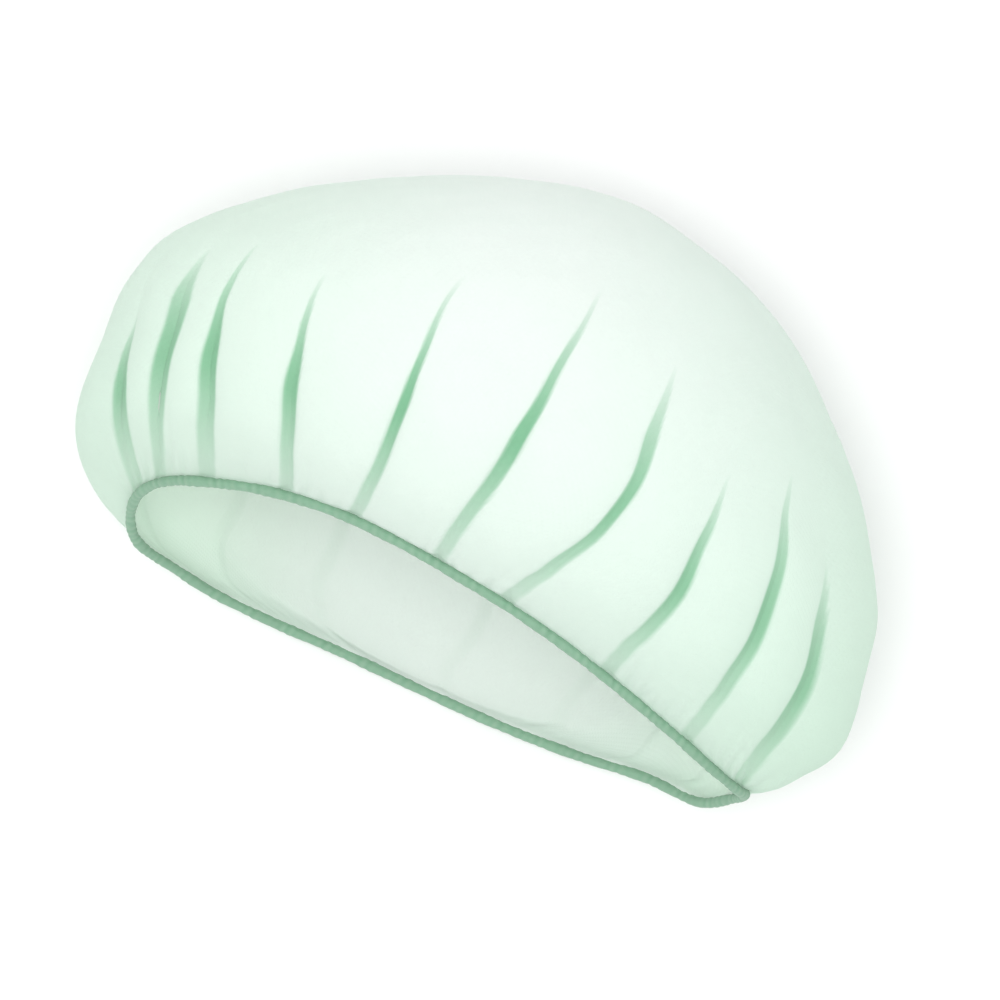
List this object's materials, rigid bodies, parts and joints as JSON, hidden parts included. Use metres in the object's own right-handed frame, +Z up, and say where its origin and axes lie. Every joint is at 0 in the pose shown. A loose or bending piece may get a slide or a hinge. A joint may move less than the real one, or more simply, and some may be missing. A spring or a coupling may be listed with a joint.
{
  "type": "disposable beret cap",
  "caption": "Thin non-woven disposable cap, gathered into a round elastic hem, with a full smooth crown and an open mouth for the head.",
  "frame": {"origin": "middle of the cap's footprint on the surface that it lies on", "axes": "+X from the forehead end of the mouth to the nape end, +Y from the mouth to the top of the crown, +Z up"},
  "size_m": [0.2534, 0.1618, 0.1674],
  "materials": {
    "nonwoven": "matt, thin point-bonded polypropylene non-woven, very pale green, a little see-through",
    "hem": "matt, non-woven ruched tightly round an elastic thread, mid green"
  },
  "bodies": {
    "root": {"crown": "nonwoven", "elastic_hem": "hem"}
  },
  "joints": []
}
